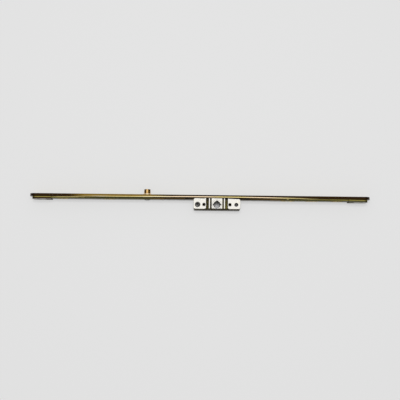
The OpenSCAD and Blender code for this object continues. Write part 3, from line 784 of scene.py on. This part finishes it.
def turned_brass():
    """Brass with fine turning rings, tarnished in clouds, with painted shade on the roller's flanks, pale on
    the collar.
    """
    colours = finish()
    material, tree, shader, place = metal("turned_brass", TURNED_BRASS)
    axis = middle("cam_roller")
    shift = {0: place, 1: (axis.x, 0, axis.z)}
    moved = add(tree, "ShaderNodeVectorMath", shift, operation="SUBTRACT").outputs[0]
    axes = add(tree, "ShaderNodeSeparateXYZ", {0: moved}).outputs
    radius = distance(tree, axes[0], axes[2])
    amber = fade(tree, noise(tree, place, TARNISH), *AMBER_TARNISH)
    base = mix(tree, amber, opaque(colours.brass), opaque(colours.amber))
    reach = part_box("cam_roller")[1].x - axis.x
    # Painted shade on the roller's flanks, dark brown
    flank = fade(tree, math_node(tree, "ABSOLUTE", axes[0]), FLANK_FROM * reach, FLANK_FULL * reach)
    rim_start, rim_full = FLANK_RIM
    flank = math_node(tree, "MULTIPLY", flank, fade(tree, radius, rim_start * reach, rim_full * reach))
    base = mix(tree, math_node(tree, "MULTIPLY", flank, FLANK_SHADE), base, opaque(colours.shade_umber))
    collar_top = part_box("cam_collar")[1].y
    collar = fade(tree, axes[1], collar_top + SOFT, collar_top - SOFT)
    base = mix(tree, collar, base, opaque(colours.blush))
    rod_middle = middle("left_rod").y
    over_rod = fade(tree, axes[1], rod_middle - TAIL_SOFT, rod_middle + TAIL_SOFT)
    base = mix(tree, over_rod, opaque(colours.zinc), base)
    graze = mix(tree, over_rod, opaque(ZINC_GRAZE), opaque(BRASS_GRAZE))
    tree.links.new(graze, shader.inputs["Specular Tint"])
    rings_at = add(tree, "ShaderNodeCombineXYZ", {0: radius, 1: axes[1]}).outputs[0]
    finish_surface(tree, shader, base, rings_at, TURNED_BRASS)
    return material


def finishes():
    """Makes each finish once and returns them by name."""
    if not bpy.data.materials.get("plate_passivation"):
        passivated("plate_passivation", "faceplate")
        passivated("rod_passivation", "left_rod")
        oiled_steel()
        # Each casting's second colour is the painted shade in its recesses: olive for shells and pinion, soot
        # for the rivets' bores
        die_cast("die_cast_zinc", finish().grime_and_shade)
        die_cast("rivet_zinc", finish().soot_and_shade)
        turned_brass()
    return bpy.data.materials


# Operators, one for each piece or group of like pieces and one for the stage


class Maker:
    """What the operators that make pieces share."""

    bl_options = {"REGISTER", "UNDO"}

    def execute(self, context):
        self.make(finishes())
        return {"FINISHED"}


class CREMONE_OT_faceplate(Maker, bpy.types.Operator):
    """Faceplate with rounded cut edges"""

    bl_idname = "cremone.faceplate"
    bl_label = "Faceplate"

    def make(self, finished):
        rounded_copy("faceplate", finished["plate_passivation"], sizes().plate_edge)


class CREMONE_OT_gearbox(Maker, bpy.types.Operator):
    """The two die-cast shells of the gearbox"""

    bl_idname = "cremone.gearbox"
    bl_label = "Gearbox shells"

    def make(self, finished):
        for node in ("gearbox_front_shell", "gearbox_back_shell"):
            rounded_copy(node, finished["die_cast_zinc"], sizes().cast_edge)


class CREMONE_OT_rods(Maker, bpy.types.Operator):
    """The left and right rods and the rack between them"""

    bl_idname = "cremone.rods"
    bl_label = "Drive rod"

    def make(self, finished):
        for node in ("left_rod", "right_rod"):
            rounded_copy(node, finished["rod_passivation"], sizes().rod_edge)
        rounded_copy("rack_slide", finished["oiled_steel"], sizes().fine_edge)


class CREMONE_OT_end_guides(Maker, bpy.types.Operator):
    """The two blocks that guide the ends of the rod"""

    bl_idname = "cremone.end_guides"
    bl_label = "End guides"

    def make(self, finished):
        for node in ("end_guide_left", "end_guide_right"):
            rounded_copy(node, finished["rod_passivation"], sizes().guide_edge)


class CREMONE_OT_pinion(Maker, bpy.types.Operator):
    """The toothed sector with the square socket"""

    bl_idname = "cremone.pinion"
    bl_label = "Pinion"

    def make(self, finished):
        rounded_copy("pinion", finished["die_cast_zinc"], sizes().gear_edge)


class CREMONE_OT_cam(Maker, bpy.types.Operator):
    """Roller, collar, pin and washer of the cam"""

    bl_idname = "cremone.cam"
    bl_label = "Roller cam"

    def make(self, finished):
        size = sizes()
        fine = size.fine_edge
        brass = finished["turned_brass"]
        centres = [(middle("cam_roller").x, 0, 0)]
        pin_low, pin_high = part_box("cam_pin")
        head = (pin_high.x - pin_low.x) / 2

        low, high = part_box("cam_roller")
        radius = (high.x - low.x) / 2
        bore = size.shank_radius + size.run_clearance
        recess = head + size.run_clearance
        floor = high.y - size.head_height - size.run_clearance
        corners = (
            (bore, low.y), (radius, low.y), (radius, high.y), (recess, high.y), (recess, floor), (bore, floor)
        )
        setbacks = (fine, size.roller_edge / 2, size.roller_edge, fine, SHARP_SETBACK, fine)
        turned_piece("cam_roller", brass, rounded_outline(corners, setbacks), centres, ring=True)

        collar_bore = size.shank_radius + size.seat_clearance
        ring_piece("cam_collar", brass, collar_bore, centres, fine, 3 * fine)
        washer_bore = size.neck_radius + size.seat_clearance
        ring_piece("cam_washer", finished["oiled_steel"], washer_bore, centres, 2 * fine, fine)

        washer_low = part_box("cam_washer")[0].y
        rod_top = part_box("left_rod")[1].y
        under_head = pin_high.y - size.head_height
        rim = head - fine
        profile = np.concatenate((
            dome(size.tail_radius, washer_low, pin_low.y)[::-1],
            ((size.neck_radius, washer_low), (size.neck_radius, rod_top), (size.shank_radius, rod_top)),
            ((size.shank_radius, under_head), (head, under_head)),
            ((head, pin_high.y - fine), (rim, pin_high.y)),
            dish(rim, pin_high.y, size.peen_dish)[::-1],
        ))
        turned_piece("cam_pin", brass, profile, centres)


class CREMONE_OT_rod_guide(Maker, bpy.types.Operator):
    """Rivet and washer that hold the right rod up"""

    bl_idname = "cremone.rod_guide"
    bl_label = "Rod guide"

    def make(self, finished):
        size = sizes()
        fine = size.fine_edge
        shank = size.guide_rivet_radius
        centres = [(middle("rod_guide_rivet").x, 0, 0)]
        low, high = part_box("rod_guide_rivet")
        head = (high.x - low.x) / 2
        washer_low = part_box("rod_guide_washer")[0].y
        profile = np.concatenate((
            dome(size.guide_tail_radius, washer_low, low.y)[::-1],
            ((shank, washer_low), (shank, high.y - head + shank)),
            dish(head, high.y, size.peen_dish)[::-1],
        ))
        turned_piece("rod_guide_rivet", finished["plate_passivation"], profile, centres)
        bore = shank + size.seat_clearance
        ring_piece("rod_guide_washer", finished["oiled_steel"], bore, centres, 2 * fine, fine)


class CREMONE_OT_lap_rivets(Maker, bpy.types.Operator):
    """Domed rivets of the two lap joints"""

    bl_idname = "cremone.lap_rivets"
    bl_label = "Lap rivets"

    def make(self, finished):
        size = sizes()
        for node in ("left_lap_rivets", "right_lap_rivets"):
            low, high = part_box(node)
            head = (high.z - low.z) / 2
            rod_low = low.y + size.lap_head_height
            flush = size.lap_rivet_radius + size.lap_rivet_lip
            profile = np.concatenate((
                dome(head, rod_low, low.y)[::-1],
                ((size.lap_rivet_radius, rod_low), (size.lap_rivet_radius, high.y - size.lap_rivet_lip)),
                dish(flush, high.y, size.peen_dish)[::-1],
            ))
            turned_piece(node, finished["oiled_steel"], profile, [(x, 0, 0) for x in places(node)])


class CREMONE_OT_end_rivets(Maker, bpy.types.Operator):
    """Flush rivets of the end guides"""

    bl_idname = "cremone.end_rivets"
    bl_label = "End guide rivets"

    def make(self, finished):
        size = sizes()
        node = "end_guide_rivets"
        low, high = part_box(node)
        rows = places(node, 2)
        flush = high.z - rows.max()
        lip = flush - size.end_rivet_radius
        lower = dish(flush, 0, size.peen_dish) * (1, -1) + (0, low.y)
        profile = np.concatenate((
            lower,
            ((size.end_rivet_radius, low.y + lip), (size.end_rivet_radius, high.y - lip)),
            dish(flush, high.y, size.peen_dish)[::-1],
        ))
        centres = [(x, 0, z) for x in places(node) for z in rows]
        turned_piece(node, finished["plate_passivation"], profile, centres)


class CREMONE_OT_studs(Maker, bpy.types.Operator):
    """Headed studs that hold the gearbox to the faceplate"""

    bl_idname = "cremone.studs"
    bl_label = "Gearbox studs"

    def make(self, finished):
        size = sizes()
        node = "gearbox_studs"
        low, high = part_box(node)
        head = (high.z - low.z) / 2
        head_top = low.y + size.stud_head_height
        profile = np.concatenate((
            ((0, low.y), (head, low.y), (head, head_top), (size.stud_radius, head_top)),
            ((size.stud_radius, high.y - head + size.stud_radius),),
            dish(head, high.y, size.peen_dish)[::-1],
        ))
        turned_piece(node, finished["plate_passivation"], profile, [(x, 0, 0) for x in places(node)])


class CREMONE_OT_shell_rivets(Maker, bpy.types.Operator):
    """Semi-hollow rivets with rolled lips that hold the shells together"""

    bl_idname = "cremone.shell_rivets"
    bl_label = "Shell rivets"

    def make(self, finished):
        size = sizes()
        node = "shell_rivets"
        low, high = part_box(node)
        lip = (high.y - low.y) / 2
        outside = size.shell_rivet_radius
        step = lip - outside
        bore = size.shell_rivet_bore
        floor = high.z - size.shell_rivet_depth
        rolled = bore + 2 * size.fine_edge
        curl = dome(rolled - bore, high.z - 2 * size.fine_edge, high.z)[::-1]
        profile = np.concatenate((
            dish(lip, 0, size.peen_dish) * (1, -1) + (0, low.z),
            ((outside, low.z + step), (outside, high.z - step), (lip, high.z)),
            curl * (-1, 1) + (rolled, 0),
            ((bore, floor), (0, floor)),
        ))
        centres = [(x, 0, 0) for x in places(node)]
        turned_piece(node, finished["rivet_zinc"], profile, centres, along="Z")


class CREMONE_OT_stage(bpy.types.Operator):
    """Pale floor, soft light and the camera above the bolt"""

    bl_idname = "cremone.stage"
    bl_label = "Stage"

    def execute(self, context):
        scene = context.scene
        stage = scene.cremone_stage
        scene.view_settings.view_transform = "Standard"
        self.floor()
        self.room(scene, stage)
        self.key(scene, stage)
        self.camera(scene, stage)
        return {"FINISHED"}

    def floor(self):
        """A flat square under the bolt, evenly pale to camera and metal except under the gearbox."""
        square = np.array(((-1, -1), (1, -1), (1, 1), (-1, 1))) * FLOOR_HALF
        corners = np.column_stack((square, np.full(len(square), CAD_BOX[0].z)))
        floor = new_object("floor", corners, np.array(((0, 1, 2, 3),)))
        material = bpy.data.materials.new("pale_floor")
        material.use_nodes = True
        tree = material.node_tree
        shader = tree.nodes["Principled BSDF"]
        shader.inputs["Base Color"].default_value = opaque(finish().floor)
        shader.inputs["Roughness"].default_value = FLOOR_ROUGHNESS
        shader.inputs["Specular IOR Level"].default_value = 0.0
        pale = add(tree, "ShaderNodeEmission", {"Color": opaque(finish().backdrop)}).outputs[0]
        place = add(tree, "ShaderNodeTexCoord").outputs["Object"]
        axes = add(tree, "ShaderNodeSeparateXYZ", {0: place}).outputs
        low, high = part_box("gearbox_back_shell")
        share = math_node(tree, "MULTIPLY", seen_rays(tree), PALE_SHARE)
        clear = 0.0
        for axis in (0, 1):
            half = (high[axis] - low[axis]) / 2
            beside = math_node(tree, "ABSOLUTE", math_node(tree, "SUBTRACT", axes[axis], low[axis] + half))
            outside = fade(tree, beside, half - PALE_SOFT, half + PALE_SOFT)
            clear = math_node(tree, "MAXIMUM", clear, outside)
        share = math_node(tree, "MULTIPLY", share, clear)
        floor_mix = add(tree, "ShaderNodeMixShader", {0: share, 1: shader.outputs[0], 2: pale})
        tree.links.new(floor_mix.outputs[0], tree.nodes["Material Output"].inputs["Surface"])
        floor.data.materials.append(material)

    def room(self, scene, stage):
        """Even light; camera and metal see a pale horizon and front wall, a dim room and a light overhead."""
        world = bpy.data.worlds.new("studio")
        world.use_nodes = True
        scene.world = world
        tree = world.node_tree
        direction = add(tree, "ShaderNodeTexCoord").outputs["Generated"]
        axes = add(tree, "ShaderNodeSeparateXYZ", {0: direction}).outputs
        studio = mix(tree, fade(tree, axes[1], *WALL_FADE), grey(DIM_ROOM), grey(FRONT_WALL))
        studio = mix(tree, fade(tree, axes[2], *ROOM_FADE), opaque(finish().backdrop), studio)
        studio = mix(tree, fade(tree, axes[2], *OVERHEAD_FADE), studio, grey(OVERHEAD))
        seen = mix(tree, seen_rays(tree), grey(stage.sky_level), studio)
        tree.links.new(seen, tree.nodes["Background"].inputs["Color"])

    def key(self, scene, stage):
        """A soft light from beyond the roller, so that the shadow falls towards the gearbox."""
        light = bpy.data.lights.new("key_light", "AREA")
        light.shape = "RECTANGLE"
        light.size, light.size_y = KEY_SIZE
        light.energy = stage.key_power
        lamp = bpy.data.objects.new("key_light", light)
        lamp.location = KEY_PLACE
        aim = Vector((stage.aim_x, 0, 0)) - lamp.location
        lamp.rotation_euler = aim.to_track_quat("-Z", "Y").to_euler()
        lamp.visible_glossy = False
        scene.collection.objects.link(lamp)

    def camera(self, scene, stage):
        """Looks down at the aim point from the elevation, with +X to the right, rolled about its own line."""
        data = bpy.data.cameras.new("camera")
        data.lens = stage.lens
        camera = bpy.data.objects.new("camera", data)
        away = stage.span * stage.lens / data.sensor_width
        back = Vector((0, -math.cos(stage.elevation), math.sin(stage.elevation)))
        camera.location = Vector((stage.aim_x, stage.aim_y, 0)) + away * back
        tilt = Euler((math.pi / 2 - stage.elevation, 0, 0)).to_matrix()
        roll = Matrix.Rotation(stage.roll, 3, "Z")
        camera.rotation_euler = (tilt @ roll).to_euler()
        data.clip_start = NEAR_CLIP
        scene.collection.objects.link(camera)
        scene.camera = camera


MAKERS = (
    CREMONE_OT_stage,
    CREMONE_OT_faceplate,
    CREMONE_OT_gearbox,
    CREMONE_OT_rods,
    CREMONE_OT_end_guides,
    CREMONE_OT_pinion,
    CREMONE_OT_cam,
    CREMONE_OT_rod_guide,
    CREMONE_OT_lap_rivets,
    CREMONE_OT_end_rivets,
    CREMONE_OT_studs,
    CREMONE_OT_shell_rivets,
)


class CREMONE_PT_panel(bpy.types.Panel):
    """Lists the operators in the sidebar"""

    bl_idname = "CREMONE_PT_panel"
    bl_label = "Cremone bolt"
    bl_space_type = "VIEW_3D"
    bl_region_type = "UI"
    bl_category = "Cremone"

    def draw(self, context):
        for maker in MAKERS:
            self.layout.operator(maker.bl_idname)


GROUPS = {"cremone_sizes": CremoneSizes, "cremone_finish": CremoneFinish, "cremone_stage": CremoneStage}


def register():
    for group in (*GROUPS.values(), *MAKERS, CREMONE_PT_panel):
        bpy.utils.register_class(group)
    for name, group in GROUPS.items():
        setattr(bpy.types.Scene, name, bpy.props.PointerProperty(type=group))


def unregister():
    for name in GROUPS:
        delattr(bpy.types.Scene, name)
    for group in (CREMONE_PT_panel, *reversed(MAKERS), *GROUPS.values()):
        bpy.utils.unregister_class(group)


def main():
    register()
    for maker in MAKERS:
        family, name = maker.bl_idname.split(".")
        getattr(getattr(bpy.ops, family), name)()


if __name__ == "__main__":
    main()
